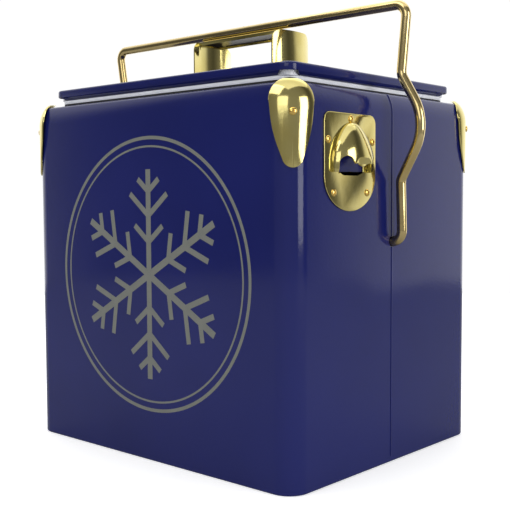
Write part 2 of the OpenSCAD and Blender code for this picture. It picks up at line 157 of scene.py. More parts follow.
def cut_with(piece, cutter, operation="DIFFERENCE"):
    """Cuts the piece with a closed cutter, which is used up."""
    boolean = piece.modifiers.new("cut", "BOOLEAN")
    boolean.operation = operation
    boolean.solver = "EXACT"
    boolean.object = cutter
    apply_modifiers(piece)
    bpy.data.objects.remove(cutter)


def finish(piece, body, *nodes, slot=None, material=None):
    settle(piece)
    if material:
        piece.data.materials.clear()
        piece.data.materials.append(material)
    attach(piece, body)
    if nodes:
        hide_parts(*nodes)
    print(piece.name, len(piece.data.polygons), "faces")
    return piece


# %% [markdown]
# ## Shader sums written as Python
# A texture's value is easier to read as `base + 0.1 * noise` than as boxes and wires. One
# small class wraps a socket, and each operator adds the Math node that it stands for.

# %% Shader helper


class Wire:
    def __init__(self, sheet, socket):
        self.sheet = sheet
        self.socket = socket

    def _sum(self, kind, a, b):
        return self.sheet.add("ShaderNodeMath", {"operation": kind}, a, b)

    def __add__(self, other):
        return self._sum("ADD", self, other)

    __radd__ = __add__

    def __mul__(self, other):
        return self._sum("MULTIPLY", self, other)

    __rmul__ = __mul__


class Nodes:
    """A node tree, with one method that adds any node and feeds its sockets."""

    def __init__(self, tree):
        self.tree = tree

    def add(self, kind, settings, *inputs, out=0, **named):
        node = self.tree.nodes.new(kind)
        for key, value in settings.items():
            if key == "stops":
                ramp = node.color_ramp.elements
                while len(ramp) < len(value):
                    ramp.new(0.5)
                for stop, (position, shade) in zip(ramp, value):
                    stop.position = position
                    stop.color = (*shade, 1)
            else:
                setattr(node, key, value)
        for key, value in [*enumerate(inputs), *named.items()]:
            socket = node.inputs[key.replace("_", " ") if isinstance(key, str) else key]
            self.feed(socket, value)
        return Wire(self, node.outputs[out])

    def feed(self, socket, value):
        if isinstance(value, Wire):
            self.tree.links.new(value.socket, socket)
        elif value is not None:
            socket.default_value = value

    def ramp(self, value, *stops):
        return self.add("ShaderNodeValToRGB", {"stops": stops}, value)

    def mix(self, share, a, b):
        node = self.tree.nodes.new("ShaderNodeMix")
        node.data_type = "RGBA"
        self.feed(node.inputs["Factor"], share)
        self.feed(node.inputs["A"], a if isinstance(a, Wire) else (*a, 1))
        self.feed(node.inputs["B"], b if isinstance(b, Wire) else (*b, 1))
        return Wire(self, node.outputs["Result"])


class Finish(Nodes):
    """A material with one Principled shader, and methods for its textures."""

    def __init__(self, name):
        self.material = bpy.data.materials.new(name)
        self.material.use_nodes = True
        super().__init__(self.material.node_tree)
        self.shader = next(n for n in self.tree.nodes if n.type == "BSDF_PRINCIPLED")
        self.place = self.add("ShaderNodeTexCoord", {}, out="Object")

    def set(self, **values):
        for key, value in values.items():
            self.feed(self.shader.inputs[key.replace("_", " ")], value)
        return self

    def noise(self, scale, detail=3.0, rough=0.5):
        return self.add("ShaderNodeTexNoise", {}, self.place,
                        Scale=scale, Detail=detail, Roughness=rough)

    def bump(self, height, distance, strength=1.0):
        node = self.tree.nodes.new("ShaderNodeBump")
        node.inputs["Distance"].default_value = distance
        node.inputs["Strength"].default_value = strength
        self.feed(node.inputs["Height"], height)
        self.set(Normal=Wire(self, node.outputs["Normal"]))
        return self


def grey(value):
    return (value, value, value)


# %% [markdown]
# ## Blue stoving enamel
# Sprayed enamel on pressed steel is glossy but never quite flat: it has a fine orange peel,
# which breaks up the edge of a reflection. A deep blue base, low roughness with a little
# drift, and a bump of two noise sizes give that.

# %% Blue enamel
ENAMEL_BLUE = (0.0075, 0.0105, 0.080)
ENAMEL_LIGHT = (0.0095, 0.0130, 0.096)


def blue_enamel():
    paint = Finish("blue_enamel")
    cloud = paint.noise(9.0, 2.0)
    peel = paint.noise(420.0, 2.0, 0.45)
    slow = paint.noise(60.0, 2.0)
    paint.set(Base_Color=paint.mix(paint.ramp(cloud, (0.3, grey(0)), (0.7, grey(1))),
                                   ENAMEL_BLUE, ENAMEL_LIGHT),
              Roughness=0.085 + 0.05 * cloud, IOR=1.5, Specular_IOR_Level=0.36)
    paint.bump(peel * 0.6 + slow * 0.4, 0.00016, 0.5)
    return paint.material


# %% [markdown]
# ## Brass plate
# Thin brass plating over polished steel is pale and greenish yellow where it faces the
# light and warmer where it is worn or lies in a groove; here a slow noise mixes the two
# tones at random. That noise and fine pits vary the roughness, and a very shallow bump
# makes reflections wander a little.

# %% Brass plate
BRASS_PALE = (0.66, 0.575, 0.235)
BRASS_WARM = (0.58, 0.475, 0.150)


def brass_plate(name, pale, warm, roughness):
    plate = Finish(name)
    drift = plate.noise(35.0, 3.0)
    pits = plate.noise(900.0, 2.0, 0.6)
    wander = plate.noise(140.0, 1.0)
    plate.set(Base_Color=plate.mix(plate.ramp(drift, (0.35, grey(0)), (0.75, grey(1))),
                                   pale, warm),
              Metallic=1.0,
              Roughness=roughness + 0.05 * drift + 0.04 * pits)
    plate.bump(wander * 0.8 + pits * 0.2, 0.00008, 0.5)
    return plate.material


# %% [markdown]
# ## Plastic, rubber, zinc, foam and ink
# The liner is moulded in white polystyrene with a faint grain, the seal is matt rubber, the
# base pan is zinc-plated with soft spangles, the foam is cream and cellular, and the front
# print is a flat grey ink with tiny pinholes.

# %% Other finishes


def liner_plastic():
    plastic = Finish("liner_plastic")
    grain = plastic.noise(700.0, 2.0)
    drift = plastic.noise(20.0, 2.0)
    plastic.set(Base_Color=plastic.mix(drift, (0.78, 0.80, 0.86), (0.84, 0.86, 0.91)),
                Roughness=0.30 + 0.08 * grain, IOR=1.49)
    plastic.bump(grain, 0.00004, 0.4)
    return plastic.material


def seal_rubber():
    rubber = Finish("seal_rubber")
    grain = rubber.noise(900.0, 3.0)
    rubber.set(Base_Color=rubber.mix(grain, grey(0.010), grey(0.022)),
               Roughness=0.62 + 0.2 * grain)
    rubber.bump(grain, 0.00006, 0.5)
    return rubber.material


def zinc_plate():
    zinc = Finish("zinc_plate")
    spangle = zinc.add("ShaderNodeTexVoronoi", {}, zinc.place, out="Distance", Scale=120.0)
    zinc.set(Base_Color=zinc.mix(zinc.noise(60.0), (0.42, 0.44, 0.47), (0.60, 0.62, 0.65)),
             Metallic=1.0, Roughness=0.28 + 0.14 * spangle)
    zinc.bump(zinc.noise(500.0), 0.00004, 0.4)
    return zinc.material


def foam_cream():
    foam = Finish("foam_cream")
    cells = foam.add("ShaderNodeTexVoronoi", {}, foam.place, out="Distance", Scale=900.0)
    foam.set(Base_Color=foam.mix(cells, (0.78, 0.70, 0.48), (0.88, 0.82, 0.62)),
             Roughness=0.85 + 0.1 * cells)
    foam.bump(cells, 0.0003, 0.6)
    return foam.material


def print_ink():
    ink = Finish("print_ink")
    drift = ink.noise(120.0, 3.0)
    holes = ink.noise(1500.0, 2.0, 0.7)
    worn = ink.ramp(holes, (0.62, grey(0)), (0.70, grey(1)))
    ink.set(Base_Color=ink.mix(worn, ink.mix(drift, (0.125, 0.132, 0.118),
                                             (0.160, 0.165, 0.145)), (0.05, 0.055, 0.10)),
            Roughness=0.38 + 0.1 * drift, Specular_IOR_Level=0.3)
    ink.bump(holes, 0.00003, 0.4)
    return ink.material


BLUE = blue_enamel()
BRASS = brass_plate("brass_plate", BRASS_PALE, BRASS_WARM, 0.075)
BRASS_ROD = brass_plate("brass_rod", (0.66, 0.53, 0.26), (0.55, 0.41, 0.16), 0.09)
BRASS_RIVET = brass_plate("brass_rivet", (0.86, 0.60, 0.17), (0.72, 0.46, 0.09), 0.12)
# Brass darkened as painted shade, for the underside of the handle bar.
BRASS_PAINTED_SHADE = brass_plate("brass_painted_shade", (0.115, 0.100, 0.060), (0.080, 0.066, 0.036), 0.35)
WHITE = liner_plastic()
BLACK = seal_rubber()
ZINC = zinc_plate()
CREAM = foam_cream()
INK = print_ink()

# %% [markdown]
# ## Drawing a section and sweeping it
# Sheet-metal pieces are bent from a flat section, so they are drawn the same way: one vertex
# is extruded point by point into a line, and that line is then moved along the straight
# stretches and spun round the corners.

# %% Chains, sweeps and outlines


def chain(name, points, closed=False):
    """A line of edges through the points, drawn by extruding one vertex."""
    clear_selection()
    bpy.ops.mesh.primitive_plane_add(size=MM, location=points[0])
    piece = bpy.context.object
    piece.name = name
    edit(piece)
    bpy.ops.mesh.select_all(action="SELECT")
    bpy.ops.mesh.merge(type="CENTER")
    for before, after in zip(points, points[1:]):
        step = Vector(after) - Vector(before)
        bpy.ops.mesh.extrude_vertices_move(TRANSFORM_OT_translate={"value": step})
    if closed:
        bpy.ops.mesh.select_all(action="DESELECT")
        last = len(points) - 1
        pick(piece, "vertices", lambda v: v.index in (0, last))
        bpy.ops.mesh.edge_face_add()
    done()
    settle(piece)
    return piece


def sweep(piece, moves):
    """Moves the section along straight stretches, and spins it round upright axes."""
    edit(piece)
    bpy.ops.mesh.select_all(action="SELECT")
    for kind, *how in moves:
        if kind == "go":
            bpy.ops.mesh.extrude_region_move(TRANSFORM_OT_translate={"value": how[0]})
        else:
            centre, degrees, steps = how
            bpy.ops.mesh.spin(steps=steps, angle=math.radians(-degrees), center=centre,
                              axis=(0, 0, 1))
    done()


def flip_to(piece, direction):
    """Turns all faces over if the one that looks most along direction faces away."""
    direction = Vector(direction)
    face = max(piece.data.polygons, key=lambda f: f.center.dot(direction) + f.area)
    if face.normal.dot(direction) < 0:
        edit(piece)
        bpy.ops.mesh.select_all(action="SELECT")
        bpy.ops.mesh.flip_normals()
        done()


def thicken(piece, thickness):
    """Thickens a sheet inwards. Even offset keeps the wall full round sharp bends."""
    wall = piece.modifiers.new("thickness", "SOLIDIFY")
    wall.thickness = thickness
    wall.offset = -1
    wall.use_even_offset = True
    apply_modifiers(piece)


def slab(name, outline, depth):
    """A closed outline filled with a face and extruded along depth."""
    piece = chain(name, outline, closed=True)
    edit(piece)
    bpy.ops.mesh.select_all(action="SELECT")
    bpy.ops.mesh.edge_face_add()
    bpy.ops.mesh.extrude_region_move(TRANSFORM_OT_translate={"value": depth})
    done()
    tidy_normals(piece)
    return piece


def arc(centre, radius, start, end, steps):
    """Points [across, up] on an arc, angles in degrees."""
    return [(centre[0] + radius * math.cos(math.radians(start + (end - start) * i / steps)),
             centre[1] + radius * math.sin(math.radians(start + (end - start) * i / steps)))
            for i in range(steps + 1)]


# %% [markdown]
# ## The painted shell
# The real body is two U-shaped sheets folded together in the middle of each side. One half
# is swept from its section: side, slow shoulder, tight bend, top flange. The other half is a
# copy turned round. A box with bevelled edges would be quicker, but it can't give a shoulder
# that tightens as it rises.

# %% Shell sizes and section
rear_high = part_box("rear_shell")[1]
HALF_W, HALF_D, CREST_Z = rear_high.x, rear_high.y, rear_high.z
SHEET = 0.8 * MM
CORNER_R = 18 * MM
BASE_EDGE_R = 1.5 * MM
BASE_FLANGE = 9 * MM
TOP_FLANGE = 20 * MM
SLOW_R, SLOW_END = 30 * MM, 30
TIGHT_R = 4 * MM
TIGHT_INSET = SLOW_R - (SLOW_R - TIGHT_R) * math.cos(math.radians(SLOW_END))
TIGHT_Z = CREST_Z - TIGHT_R
SHOULDER_Z = TIGHT_Z - (SLOW_R - TIGHT_R) * math.sin(math.radians(SLOW_END))


def wall_section(grow=0.0, full=True):
    """[inset, z] points of the wall, from the base flange to the top flange."""
    base = [(inset, z) for inset, z in arc((BASE_EDGE_R, BASE_EDGE_R), BASE_EDGE_R + grow,
                                           270, 180, 5)]
    slow = [(2 * SLOW_R - x, z) for x, z in arc((SLOW_R, SHOULDER_Z), SLOW_R + grow, 0,
                                                SLOW_END, 10)]
    tight = [(2 * TIGHT_INSET - x, z) for x, z in arc((TIGHT_INSET, TIGHT_Z), TIGHT_R + grow,
                                                      SLOW_END, 90, 10)]
    if not full:
        return slow + tight[1:-5]
    return [(BASE_FLANGE, -grow)] + base + slow + tight[1:] + [(TOP_FLANGE, CREST_Z + grow)]


# %% Front and rear halves
CORNER_STEPS = 20


def shell_half():
    section = [(HALF_W - inset, 0, z) for inset, z in wall_section()]
    half = chain("shell", section)
    along_side = HALF_D - CORNER_R
    along_front = 2 * (HALF_W - CORNER_R)
    sweep(half, [
        ("go", (0, -along_side, 0)),
        ("turn", (HALF_W - CORNER_R, -along_side, 0), -90, CORNER_STEPS),
        ("go", (-along_front, 0, 0)),
        ("turn", (CORNER_R - HALF_W, -along_side, 0), -90, CORNER_STEPS),
        ("go", (0, along_side, 0))])
    tidy_normals(half)
    flip_to(half, (0, -1, 0))
    thicken(half, SHEET)
    return half


def pivot_cutter():
    clear_selection()
    bpy.ops.mesh.primitive_cylinder_add(
        vertices=48, radius=PIVOT_HOLE_R, depth=2 * HALF_W + 20 * MM, location=(0, 0, PIVOT_Z),
        rotation=(0, math.pi / 2, 0))
    cutter = bpy.context.object
    settle(cutter)
    return cutter


PIVOT_Z = 182 * MM
PIVOT_HOLE_R = 4.5 * MM
SEAM_W = 1.6 * MM
SEAM_PROUD = 0.5 * MM


def seam_strip(side):
    """The folded seam's ridge, up the side and over the shoulder."""
    section = [(-SEAM_PROUD, 5 * MM)] + wall_section(SEAM_PROUD, full=False)
    ridge = chain("seam", [(side * (HALF_W - inset), 0, z) for inset, z in section])
    sweep(ridge, [("go", (0, -SEAM_W, 0))])
    tidy_normals(ridge)
    flip_to(ridge, (side, 0, 0))
    thicken(ridge, SEAM_PROUD + 0.2 * MM)
    round_edges(ridge, 0.25 * MM, 3, 50)
    return ridge


front_half = shell_half()
rear_half = copy_of(front_half, "shell_rear")
rear_half.matrix_world = Matrix.Rotation(math.pi, 4, "Z")
settle(rear_half)
ridges = [seam_strip(1), seam_strip(-1)]
for sheet in (front_half, rear_half, *ridges):
    cut_with(sheet, pivot_cutter())
    smooth(sheet, 30)
front_half = join("shell_front", front_half, *ridges)
finish(front_half, "chest", "front_shell", slot="blue_enamel", material=BLUE)
finish(rear_half, "chest", "rear_shell", slot="blue_enamel", material=BLUE)

# %% [markdown]
# ## The lid pan
# The lid is a shallow pressed pan with crisp upright corners. Its top edge and skirt are one
# swept section. Along each straight side the sheet is folded on, inwards and down, and that
# hem stops short of the corners, so that the white rim shows there.

# %% Lid pan
lid_low, lid_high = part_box("lid_shell")
LID_W, LID_D, LID_TOP = lid_high.x, lid_high.y, lid_high.z
LID_CORNER_R = 10 * MM
LID_EDGE_R = 2 * MM
LID_FLAT = 8 * MM
SKIRT_Z = LID_TOP - 6.5 * MM
HEM_IN = 3.5 * MM
HEM_Z = lid_low.z
HEM_MITRE = 4.5 * MM


def lid_pan():
    edge = arc((LID_W - LID_EDGE_R, LID_TOP - LID_EDGE_R), LID_EDGE_R, 90, 0, 6)
    section = [(LID_W - LID_FLAT, 0, LID_TOP)] + [(x, 0, z) for x, z in edge]
    section.append((LID_W, 0, SKIRT_Z))
    pan = chain("lid", section)
    side = LID_D - LID_CORNER_R
    front = LID_W - LID_CORNER_R
    sweep(pan, [
        ("go", (0, -side, 0)), ("turn", (front, -side, 0), -90, 14),
        ("go", (-2 * front, 0, 0)), ("turn", (-front, -side, 0), -90, 14),
        ("go", (0, 2 * side, 0)), ("turn", (-front, side, 0), -90, 14),
        ("go", (2 * front, 0, 0)), ("turn", (front, side, 0), -90, 14),
        ("go", (0, -side, 0))])
    tidy_normals(pan)
    fill_top(pan)
    for axis, sign in ((1, -1), (1, 1), (0, -1), (0, 1)):
        fold_hem(pan, axis, sign)
    flip_to(pan, (0, 0, 1))
    thicken(pan, SHEET)
    round_edges(pan, 0.22 * MM, 2, 40)
    smooth(pan, 32)
    return pan


def fill_top(pan):
    inner_x, inner_y = LID_W - LID_FLAT + 0.01 * MM, LID_D - LID_FLAT + 0.01 * MM

    def on_inner_loop(edge):
        middle = edge_middle(pan, edge)
        a, b = (pan.data.vertices[i].co for i in edge.vertices)
        level = abs(a.z - LID_TOP) < 0.01 * MM and abs(b.z - LID_TOP) < 0.01 * MM
        inside = abs(middle.x) < inner_x and abs(middle.y) < inner_y
        return level and inside and (abs(a.x) < inner_x and abs(a.y) < inner_y)

    edit(pan, "EDGE")
    pick(pan, "edges", on_inner_loop)
    bpy.ops.mesh.edge_face_add()
    bpy.ops.mesh.select_all(action="SELECT")
    bpy.ops.mesh.normals_make_consistent(inside=False)
    done()


def fold_hem(pan, axis, sign):
    half = (LID_W, LID_D)[axis]
    other = (LID_D, LID_W)[axis] - LID_CORNER_R

    def on_skirt(edge):
        a, b = (pan.data.vertices[i].co for i in edge.vertices)
        low = abs(a.z - SKIRT_Z) < 0.01 * MM and abs(b.z - SKIRT_Z) < 0.01 * MM
        return low and all(abs(p[axis] - sign * half) < 0.01 * MM for p in (a, b))

    edit(pan, "EDGE")
    pick(pan, "edges", on_skirt)
    fold = [0, 0, HEM_Z - SKIRT_Z]
    fold[axis] = -sign * HEM_IN
    bpy.ops.mesh.extrude_edges_move(TRANSFORM_OT_translate={"value": fold})
    pinch = [1, 1, 1]
    pinch[1 - axis] = 1 - HEM_MITRE / other
    centre = [0, 0, HEM_Z]
    centre[axis] = sign * (half - HEM_IN)
    bpy.ops.transform.resize(value=pinch, center_override=centre)
    done()


finish(lid_pan(), "lid", "lid_shell", slot="blue_enamel", material=BLUE)

# %% [markdown]
# ## Corner guards
# A guard is pressed from thin brass-plated sheet, dished round an upright axis and bent over
# the shoulder. The dish is spun from its section, thickened, and then trimmed to the egg
# outline with a die, as in a press. Spinning keeps the even quads that mirror-like plating
# needs, and a trimmed edge is as square as a real one before it is rounded.

# %% Guard sizes
# A hundredth of a millimetre thinner than the CAD guard, which keeps it inside the CAD's box.
GUARD_T = 0.89 * MM
GUARD_AXIS = -5.8 * MM
GUARD_TURN_FRONT, GUARD_TURN_REAR = 5, 14
GUARD_TOP = (287.5 * MM, 16.7 * MM)
GUARD_TIP = (247 * MM, 7.8 * MM)
GUARD_SWELL = 1.8 * MM
GUARD_LOW = (230 * MM, 24.0 * MM + GUARD_T)
GUARD_KNEE = (283 * MM, 24.8 * MM + GUARD_T)
GUARD_OVER = (13 * MM + GUARD_T, 20.7 * MM + GUARD_T)
GUARD_RIVET_Z = 279 * MM
DISH_TURN = 100
DISH_STEPS = 80
BEND_STEPS = 36


def egg_outline():
    """[across, up] points of half a guard, from the lower tip to the top."""
    (top_z, top_r), (tip_z, tip_r) = GUARD_TOP, GUARD_TIP
    taper = math.asin((top_r - tip_r) / (top_z - tip_z))
    points = arc((0, tip_z), tip_r, -90, -8, 8)
    for i in range(13):
        share = i / 12
        radius = tip_r + share * (top_r - tip_r)
        points.append((radius * math.cos(taper) + GUARD_SWELL * math.sin(math.pi * share),
                       tip_z + share * (top_z - tip_z) - radius * math.sin(taper)))
    return points + arc((0, top_z), top_r, 0, 90, 14)


def dished_sheet():
    """The dish that a guard is trimmed from, with its outward diagonal along +X."""
    section = [(GUARD_AXIS + GUARD_LOW[1], 0, GUARD_LOW[0])]
    centre_x = GUARD_AXIS + GUARD_KNEE[1] - GUARD_OVER[0]
    for i in range(BEND_STEPS + 1):
        a = math.radians(90 * i / BEND_STEPS)
        section.append((centre_x + GUARD_OVER[0] * math.cos(a), 0,
                        GUARD_KNEE[0] + GUARD_OVER[1] * math.sin(a)))
    sheet = chain("guard", section)
    sheet.matrix_world = (Matrix.Translation((GUARD_AXIS, 0, 0))
                          @ Matrix.Rotation(math.radians(-DISH_TURN / 2), 4, "Z")
                          @ Matrix.Translation((-GUARD_AXIS, 0, 0)))
    settle(sheet)
    sweep(sheet, [("turn", (GUARD_AXIS, 0, 0), DISH_TURN, DISH_STEPS)])
    tidy_normals(sheet)
    flip_to(sheet, (1, 0, 0))
    thicken(sheet, GUARD_T)
    return sheet


def trimming_die():
    """A solid with the egg outline, deep enough to pass right through the dish."""
    half = egg_outline()
    outline = half + [(-y, z) for y, z in reversed(half[1:-1])]
    return slab("die", [(-5 * MM, y, z) for y, z in outline], (45 * MM, 0, 0))


def pressed_guard():
    guard = dished_sheet()
    cut_with(guard, trimming_die(), "INTERSECT")
    round_edges(guard, 0.3 * MM, 3, 50)
    smooth(guard, 60)
    return guard


# %% Place the guards
def corner_place(sx, sy):
    turn = GUARD_TURN_REAR if sy > 0 else GUARD_TURN_FRONT
    spin = math.atan2(sy, sx) - sx * sy * math.radians(turn)
    return (Matrix.Translation((sx * (HALF_W - CORNER_R), sy * (HALF_D - CORNER_R), 0))
            @ Matrix.Rotation(spin, 4, "Z"))


guard = pressed_guard()
CORNERS = {"front_left": (-1, -1), "front_right": (1, -1),
           "rear_left": (-1, 1), "rear_right": (1, 1)}
for name, (sx, sy) in CORNERS.items():
    twin = copy_of(guard, "guard_" + name)
    twin.matrix_world = corner_place(sx, sy)
    finish(twin, "chest", "corner_guard_" + name, slot="brass_plate", material=BRASS)
bpy.data.objects.remove(guard)

# %% [markdown]
# ## Rivets
# Every fitting is held by tubular rivets, which have a low domed head with a hole in the
# middle. One head is turned from its section with Spin, then copied to each place.

# %% One rivet head
RIVET_R = 2.9 * MM
RIVET_H = 1.5 * MM
RIVET_HOLE_R = 0.8 * MM


def rivet_head():
    dome = [(RIVET_R * math.cos(math.radians(a)), RIVET_H * math.sin(math.radians(a)))
            for a in range(0, 66, 8)]
    rim = [(RIVET_HOLE_R + 0.25 * MM, RIVET_H * 0.93), (RIVET_HOLE_R, RIVET_H * 0.78)]
    section = [(0, -0.6 * MM), (RIVET_R * 0.99, -0.6 * MM)] + dome + rim
    section += [(RIVET_HOLE_R * 0.92, 0.2 * MM), (0, 0)]
    head = chain("rivet", [(x, 0, z) for x, z in section])
    sweep(head, [("turn", (0, 0, 0), 360, 32)])
    tidy_normals(head)
    smooth(head, 50)
    return head


def rivets(name, places, body, node):
    heads = []
    for index, place in enumerate(places):
        head = copy_of(RIVET, f"{name}_{index}")
        head.matrix_world = place
        settle(head)
        heads.append(head)
    return finish(join(name, *heads), body, node, slot="brass_plate", material=BRASS_RIVET)


RIVET = rivet_head()
FACE_X = Matrix.Rotation(math.pi / 2, 4, "Y")
guard_rivet_r = GUARD_AXIS + GUARD_LOW[1] + 0.05 * MM + (
    (GUARD_KNEE[1] - GUARD_LOW[1]) * (GUARD_RIVET_Z - GUARD_LOW[0])
    / (GUARD_KNEE[0] - GUARD_LOW[0]))
rivets("guard_rivet_heads",
       [corner_place(sx, sy) @ Matrix.Translation((guard_rivet_r, 0, GUARD_RIVET_Z)) @ FACE_X
        for sx, sy in CORNERS.values()], "chest", "guard_rivets")

# %% [markdown]
# ## The bottle opener
# The opener is a flat plate with a raised hood. A cap goes into the window under the hood,
# and the hood's middle tooth catches it. The plate is an outline that is filled and
# extruded. The hood starts as a sphere, which is stretched and bisected. One cutter then bites
# out its lip, round at each side and wavy between, and the middle is bent in as the tooth.

# %% Opener plate
plate_low, plate_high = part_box("opener_plate")
PLATE_Y = (plate_low.y + plate_high.y) / 2
PLATE_HALF = (plate_high.y - plate_low.y) / 2
PLATE_X = plate_high.x
PLATE_CORNER_R = 7 * MM
PLATE_TIP = 27 * MM
WINDOW = (16 * MM, 236 * MM, 250 * MM)
RIVETS_YZ = [(0, 277), (-28.3, 260.6), (28.3, 260.6), (-21.4, 221.3), (21.4, 221.3)]


def plate_outline():
    high_y, high_z = PLATE_HALF - PLATE_CORNER_R, plate_high.z - PLATE_CORNER_R
    right = arc((high_y, high_z), PLATE_CORNER_R, 90, 0, 8)
    tip = [(PLATE_HALF * math.cos(a), plate_low.z + PLATE_TIP * (1 + math.sin(a)))
           for a in (-math.pi * i / 40 for i in range(41))]
    left = [(-y, z) for y, z in reversed(right)]
    return [(plate_low.x, PLATE_Y + y, z) for y, z in right + tip + left]


def window_cutter():
    half, low, high = WINDOW
    ripple = [(half * (i / 30 - 1), low + 1.3 * MM * math.cos(math.pi * i / 15))
              for i in range(61)]
    outline = [(PLATE_X - 10 * MM, PLATE_Y + y, z) for y, z in [*ripple, (half, high),
                                                               (-half, high)]]
    return slab("window", outline, (20 * MM, 0, 0))


plate = slab("opener_base", plate_outline(), (PLATE_X - plate_low.x, 0, 0))
cut_with(plate, window_cutter())
round_edges(plate, 0.4 * MM, 3, 40)
smooth(plate, 40)
finish(plate, "chest", "opener_plate", slot="brass_plate", material=BRASS)

# %% Opener hood
HOOD_SIZE = (13.8 * MM, 23.6 * MM, 27.5 * MM)
HOOD_Z = 243 * MM
HOOD_PEAK = 4 * MM
LIP_Z = 236.5 * MM
HOOD_T = 1.2 * MM
NOTCH_Y, NOTCH_Z, NOTCH_R = 16.5 * MM, 243.5 * MM, 5 * MM
MIDDLE_Z = 242 * MM


def lip_cutter():
    """Bites out the space under the lip: a notch at each side and a wavy middle between."""
    left = arc((-NOTCH_Y, NOTCH_Z), NOTCH_R, 180, 15, 20)
    right = [(-y, z) for y, z in reversed(left)]
    start = left[-1][0]
    wave = [(start * (1 - i / 8), MIDDLE_Z - 1.2 * MM * math.cos(math.pi * (1 - i / 8) * 1.5))
            for i in range(1, 16)]
    low = LIP_Z - 5 * MM
    outline = [(left[0][0], low), *left, *wave, *right, (right[-1][0], low)]
    return slab("lip_gap", [(PLATE_X + 0.2 * MM, PLATE_Y + y, z) for y, z in outline],
                (25 * MM, 0, 0))


def opener_hood():
    clear_selection()
    bpy.ops.mesh.primitive_uv_sphere_add(segments=128, ring_count=80, radius=1,
                                         location=(PLATE_X, PLATE_Y, HOOD_Z), scale=HOOD_SIZE)
    hood = bpy.context.object
    settle(hood)
    edit(hood)
    top = HOOD_Z + HOOD_SIZE[2] - 0.05 * MM
    pick(hood, "vertices", lambda v: v.co.z > top)
    bpy.ops.transform.translate(value=(0, 0, HOOD_PEAK), use_proportional_edit=True,
                                proportional_edit_falloff="SMOOTH",
                                proportional_size=20 * MM)
    for place, normal in (((PLATE_X - 0.3 * MM, 0, 0), (-1, 0, 0)), ((0, 0, LIP_Z), (0, 0, -1))):
        bpy.ops.mesh.select_all(action="SELECT")
        bpy.ops.mesh.bisect(plane_co=place, plane_no=normal, clear_outer=True)
    done()
    thicken(hood, HOOD_T)
    cut_with(hood, lip_cutter())
    curl_lip(hood)
    round_edges(hood, 0.3 * MM, 2, 50)
    smooth(hood, 45)
    return hood


def curl_lip(hood):
    """Bends the middle of the lip inwards, as the tooth that catches a cap."""
    edit(hood)
    pick(hood, "vertices", lambda v: abs(v.co.y - PLATE_Y) < 4 * MM
         and v.co.z < MIDDLE_Z + 0.5 * MM and v.co.x > PLATE_X + 6 * MM)
    bpy.ops.transform.translate(value=(-2.5 * MM, 0, 0), use_proportional_edit=True,
                                proportional_edit_falloff="SMOOTH",
                                proportional_size=7 * MM)
    done()


finish(opener_hood(), "chest", "opener_hood", slot="brass_plate", material=BRASS)
rivets("opener_rivet_heads",
       [Matrix.Translation((PLATE_X, PLATE_Y + y * MM, z * MM)) @ FACE_X
        for y, z in RIVETS_YZ], "chest", "opener_rivets")

# %% [markdown]
# ## The swing bail
# The bail is one plated rod, bent so that it clears the side panel, kinks outwards and comes
# back in to the grip. Its centre line is walked in runs and bends. The line becomes a curve
# with a round bevel, and the curve becomes a mesh.

# %% Bail
ROD_R = 4 * MM
BAIL_REACH = 186.6
BAIL_LEAN = 2.6
PIN_END_X = 141.0
ARM_X = 164.4
KINK, SPLAY = 30, 7
LOWER_RUN, RISING_RUN, FALLING_RUN = 38, 24.4, 19.3
PIN_R, KINK_R, BULGE_R, GRIP_R = 9, 10, 40, 9


def bail_steps():
    """Runs [length] and bends [radius, degrees] up one arm, in millimetres."""
    def sin(degrees):
        return math.sin(math.radians(degrees))

    def cos(degrees):
        return math.cos(math.radians(degrees))

    rise = (PIN_R + LOWER_RUN + 2 * KINK_R * sin(KINK) + KINK_R * sin(SPLAY)
            + (RISING_RUN + FALLING_RUN) * cos(KINK) + 2 * BULGE_R * sin(KINK))
    upper_run = (BAIL_REACH - rise - GRIP_R * (1 + sin(SPLAY))) / cos(SPLAY)
    return [(ARM_X - PIN_R - PIN_END_X,), (PIN_R, 90), (LOWER_RUN,), (KINK_R, -KINK),
            (RISING_RUN,), (BULGE_R, 2 * KINK), (FALLING_RUN,), (KINK_R, -KINK - SPLAY),
            (upper_run,), (GRIP_R, 90 + SPLAY)]


def walk_arm():
    x, z, heading = PIN_END_X, 0.0, 0.0
    points = [(x, z)]
    for step in bail_steps():
        if len(step) == 1:
            x += step[0] * math.cos(heading)
            z += step[0] * math.sin(heading)
            points.append((x, z))
            continue
        radius, turn = step
        pieces = max(4, round(abs(turn) / 5))
        bite = math.radians(turn) / pieces
        chord = 2 * radius * math.sin(abs(bite) / 2)
        for _ in range(pieces):
            x += chord * math.cos(heading + bite / 2)
            z += chord * math.sin(heading + bite / 2)
            heading += bite
            points.append((x, z))
    return points


def swing_bail():
    arm = walk_arm()
    path = arm + [(-x, z) for x, z in reversed(arm)]
    lean = math.radians(BAIL_LEAN)
    rod = chain("swing_bail", [(x * MM, -z * MM * math.sin(lean), PIVOT_Z + z * MM
                                * math.cos(lean)) for x, z in path])
    make_active(rod)
    bpy.ops.object.convert(target="CURVE")
    rod = bpy.context.object
    rod.data.bevel_depth = ROD_R
    rod.data.bevel_resolution = 7
    rod.data.use_fill_caps = True
    bpy.ops.object.convert(target="MESH")
    rod = bpy.context.object
    tidy_normals(rod)
    smooth(rod, 50)
    return rod


finish(swing_bail(), "bail", "bail", slot="brass_plate", material=BRASS_ROD)

# %% [markdown]
# ## Pieces that keep their CAD shape
# The lid handle and the liner already have the right shape in the frame. A copy of each is
# merged and given softened edges, because no pressed or moulded edge is knife-sharp. The
# underside of the handle bar gets a darker, duller brass that is painted shade. That is a choice
# of look: plain brass turned out too pale there, since it mirrors the bright room.

# %% Handle and liner
HANDLE_BAR_Z = 345 * MM


